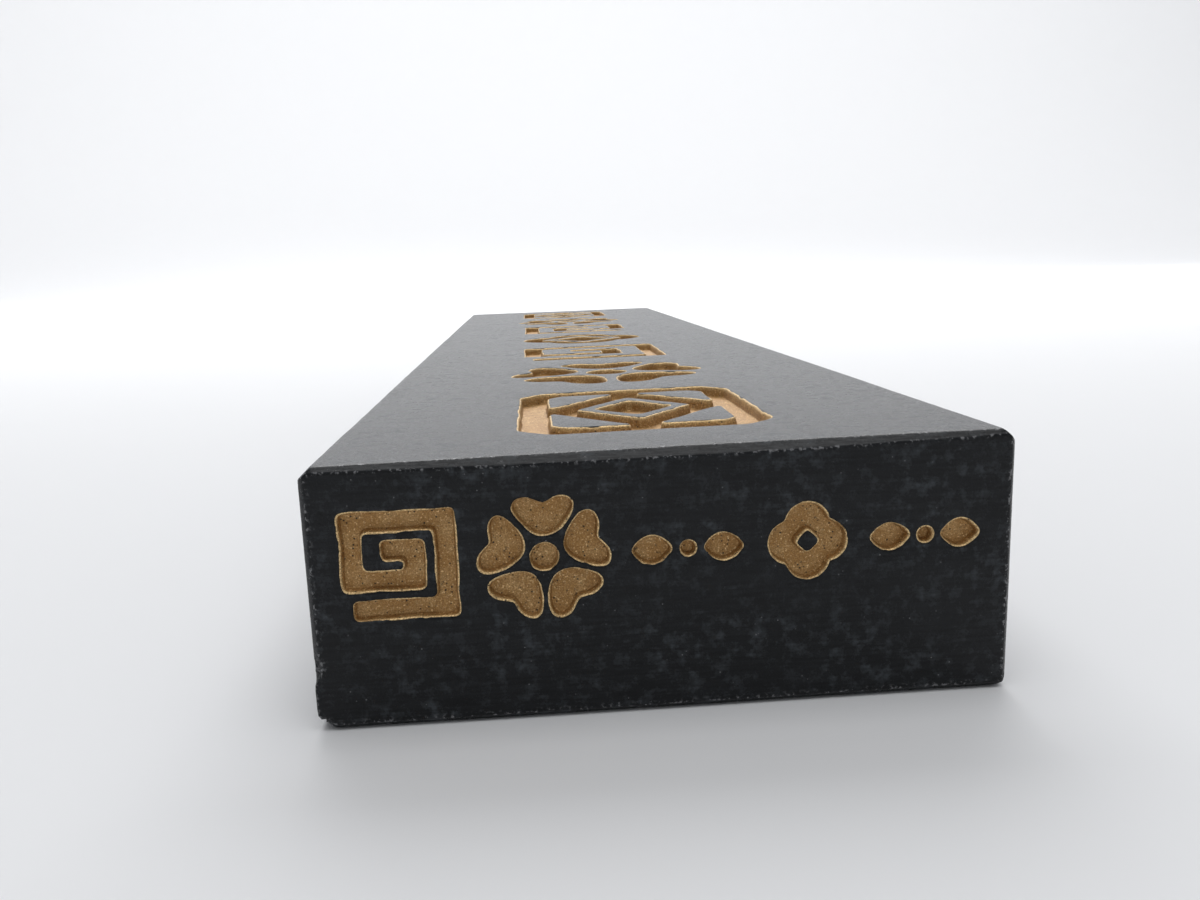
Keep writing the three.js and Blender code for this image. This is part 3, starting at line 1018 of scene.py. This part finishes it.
@dataclass(frozen=True)
class GoldPaintFinish:
    """Brushed-on gold paint: metal flakes in glue, dull on the floor, with a painted highlight at the rim
    and painted glints, pinholed.
    """

    flat: Triple = (0.43, 0.236, 0.078)
    # the colour of the painted highlight at the rim and of the painted glints
    painted_highlight_colour: Triple = (1.0, 0.74, 0.38)
    thin: Triple = (0.2, 0.1, 0.03)
    bare: Triple = (0.02, 0.014, 0.009)

    def material(self) -> bpy.types.Material:
        """Builds the material.

        Returns:
            The material, which reads the mark edge and lightens the paint by it near the rim as a painted
            highlight.
        """
        s = Shader("gold_paint")
        flakes = s.noise(18.0, 2.0)
        strokes = s.noise(1.6, 4.0)
        # painted glints: small spots of the paint lightened towards the highlight colour, standing in for
        # sparkle
        painted_glints = s.step(s.noise(12.0, 5.0), 0.55, 0.66)
        # painted highlight: lighter near the rim by the edge mark and at the glints; the brush strokes add
        # real tone of their own
        stroke_tone_and_painted_highlight = s.combine("ADD", s.times(s.step(strokes, 0.4, 0.75), 0.3), s.mark("edge"))
        stroke_tone_and_painted_highlight = s.combine("ADD", stroke_tone_and_painted_highlight, s.times(painted_glints, 0.85))
        colour = s.blend(s.combine("MINIMUM", stroke_tone_and_painted_highlight, 1.0), self.flat, self.painted_highlight_colour)
        colour = s.blend(s.to_range(s.step(flakes, 0.34, 0.66), 0.7, 0.0), colour, self.thin)
        pinholes = s.times(s.specks(5.5, 0.24), s.step(s.noise(2.4, 3.0), 0.42, 0.54))
        thin = s.step(s.noise(4.2, 4.0), 0.64, 0.74)
        gone = s.combine("MAXIMUM", pinholes, s.times(thin, 0.7))
        colour = s.blend(gone, colour, self.bare)
        metal = s.to_range(gone, 0.55, 0.0)
        roughness = s.combine("ADD", s.to_range(strokes, 0.44, 0.58), s.times(gone, 0.2))
        relief = s.bump([(flakes, 0.012), (strokes, 0.025), (pinholes, -0.012)])
        return s.finish(Base_Color=colour, Metallic=metal, Roughness=roughness, Normal=relief)


@dataclass(frozen=True)
class FloorFinish:
    """A plain pale table surface."""

    pale: Triple = (0.78, 0.785, 0.8)
    shade: Triple = (0.7, 0.705, 0.72)

    def material(self) -> bpy.types.Material:
        """Builds the material."""
        s = Shader("pale_floor")
        colour = s.blend(s.to_range(s.noise(0.05, 3.0), 0.0, 0.12), self.pale, self.shade)
        return s.finish(Base_Color=colour, Roughness=0.9, Specular_IOR_Level=0.2)


@dataclass
class InkStick:
    """The whole stick: the block, and a paint film in each of its recesses."""

    block_node: str = "ink_block"
    head_mark: str = "_head_"

    def box(self) -> np.ndarray:
        """The block's lowest and highest corner, in millimetres."""
        return np.array([list(corner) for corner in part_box(self.block_node)]) / MM

    def strokes(self) -> list[SunkStroke]:
        """One sunk stroke for each film in the frame: fine on the head, broader on the upper face.

        Returns:
            The strokes, in the order of their names.
        """
        made = []
        for node in sorted(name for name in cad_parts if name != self.block_node):
            on_head = self.head_mark in node
            face, carving = (Face.HEAD, HEAD_CARVING) if on_head else (Face.UPPER, UPPER_CARVING)
            made.append(SunkStroke(node, face, self.box(), carving))
        return made

    def build(self) -> None:
        """Builds, dresses and seats the block and its films."""
        work = HandWork(self.box())
        strokes = self.strokes()
        ink, gold = PressedInkFinish().material(), GoldPaintFinish().material()
        block = InkBlock(self.box(), work, strokes).build()
        self.seat(block, ink, self.block_node)
        for stroke in strokes:
            points, triangles, edge = stroke.paint_film()
            # the edge mark lets the gold finish paint a highlight along the rim
            film = make_piece(f"paint_{stroke.node}", work.shaped(points)[0], triangles, {"edge": edge})
            self.seat(film, gold, stroke.node)

    def seat(self, piece: bpy.types.Object, finish: bpy.types.Material, node: str) -> None:
        """Gives a piece its finish and puts it in its node's place.

        Args:
            piece: The piece.
            finish: Its material.
            node: The CAD node it stands for.
        """
        piece.data.materials.append(finish)
        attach(piece, BODY)
        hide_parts(node)
        LOG.info("%s: %d triangles, stands for %s", piece.name, len(piece.data.polygons), node)


@dataclass(frozen=True)
class Lamp:
    """A soft rectangular light: where it hangs and what it points at, in metres, its width and height,
    its power in watts, and the angle it shines into, in degrees."""

    name: str
    place: Triple
    target: Triple
    size: tuple[float, float]
    power: float
    spread: float

    def hang(self) -> None:
        """Adds the light to the scene."""
        light = bpy.data.lights.new(self.name, "AREA")
        light.shape = "RECTANGLE"
        light.size, light.size_y = self.size
        light.energy = self.power
        light.spread = math.radians(self.spread)
        aim = (Vector(self.target) - Vector(self.place)).to_track_quat("-Z", "Y").to_matrix().to_4x4()
        linked(self.name, light).matrix_world = Matrix.Translation(Vector(self.place)) @ aim


LAMPS = (
    Lamp("window", (0.05, 0.6, 0.6), (0.0, 0.14, 0.0), (0.8, 0.6), 2.0, 120.0),
    Lamp("backdrop", (0.0, 0.25, 0.8), (0.0, 1.3, 0.3), (2.6, 0.5), 15.5, 170.0),
    Lamp("overhead", (0.0, -0.15, 0.6), (0.0, -0.05, 0.0), (0.6, 0.5), 1.2, 150.0),
)


@dataclass
class Studio:
    """A pale floor that sweeps up behind, soft light from above and behind, and the camera low in front.
    The camera's offset is from head, the middle of the head's lower edge. Lengths are in metres."""

    head: np.ndarray
    focal_mm: float = 29.1
    sensor_mm: float = 36.0
    near_clip: float = 0.001
    offset: Triple = (-0.004246, -0.031034, 0.01517)
    right: Triple = (0.9967, -0.0740, -0.0343)
    forward: Triple = (0.0663, 0.9800, -0.1875)
    floor_half: float = 1.6
    sweep_start: float = 0.7
    sweep_radius: float = 0.6
    wall: tuple[float, float] = (0.2, 1.6)
    floor_gap: float = 0.00002
    sky_colour: tuple[float, float, float, float] = (0.96, 0.98, 1.0, 1.0)
    sky_strength: float = 0.31

    def camera(self) -> None:
        """Places the camera. Its up is square to the right and forward directions."""
        lens = bpy.data.cameras.new("camera")
        lens.lens = self.focal_mm
        lens.sensor_width = self.sensor_mm
        lens.clip_start = self.near_clip
        right = Vector(self.right).normalized()
        forward = (Vector(self.forward) - right * Vector(self.forward).dot(right)).normalized()
        turn = Matrix((right, right.cross(forward), -forward)).transposed().to_4x4()
        holder = linked("camera", lens)
        holder.matrix_world = Matrix.Translation(Vector(self.head) + Vector(self.offset)) @ turn
        bpy.context.scene.camera = holder

    def floor(self) -> None:
        """A sheet that is flat, then rises behind along a quarter circle, and goes on upright."""
        run = np.linspace(-self.floor_half, self.sweep_start, 24)
        swing = np.linspace(0.0, math.pi / 2, 16)[1:]
        back = self.sweep_start + self.sweep_radius * np.sin(swing)
        rise = self.sweep_radius * (1.0 - np.cos(swing))
        upright = rise[-1] + np.linspace(*self.wall, 8)
        y = np.concatenate([run, back, np.full(len(upright), back[-1])])
        z = np.concatenate([np.zeros(len(run)), rise, upright]) - self.floor_gap
        x = np.linspace(-2.0 * self.floor_half, 2.0 * self.floor_half, 16)
        across, along, height = np.broadcast_arrays(x[None], y[:, None], z[:, None])
        points = np.stack([across, along, height], axis=-1).reshape(-1, 3)
        sheet = make_piece("floor", points / MM, grid_triangles(len(y), len(x)), {})
        sheet.data.materials.append(FloorFinish().material())
        sheet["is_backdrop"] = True

    def sky(self) -> None:
        """Even, very slightly cool light from all round."""
        world = bpy.data.worlds.new("sky")
        world.use_nodes = True
        background = world.node_tree.nodes["Background"]
        background.inputs["Color"].default_value = self.sky_colour
        background.inputs["Strength"].default_value = self.sky_strength
        bpy.context.scene.world = world

    def build(self) -> None:
        """Sets up the camera, the floor and the lights."""
        self.camera()
        self.floor()
        self.sky()
        for lamp in LAMPS:
            lamp.hang()
        bpy.context.scene.view_settings.view_transform = "Standard"
        LOG.info("studio: floor, sky and %d lamps", len(LAMPS))


def plain(corners: tuple) -> list[list[float]]:
    """A box's two corners as plain lists of numbers."""
    return [[float(value) for value in corner] for corner in corners]


def main() -> None:
    """Builds the studio, placed from the CAD parts' bounds, and the stick."""
    logging.basicConfig(level=logging.INFO, format="%(name)s: %(message)s")
    cad = plain(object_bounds())
    low, high = (np.array(corner) for corner in cad)
    Studio(np.array([(low[0] + high[0]) / 2, low[1], low[2]])).build()
    InkStick().build()


if __name__ == "__main__":
    main()
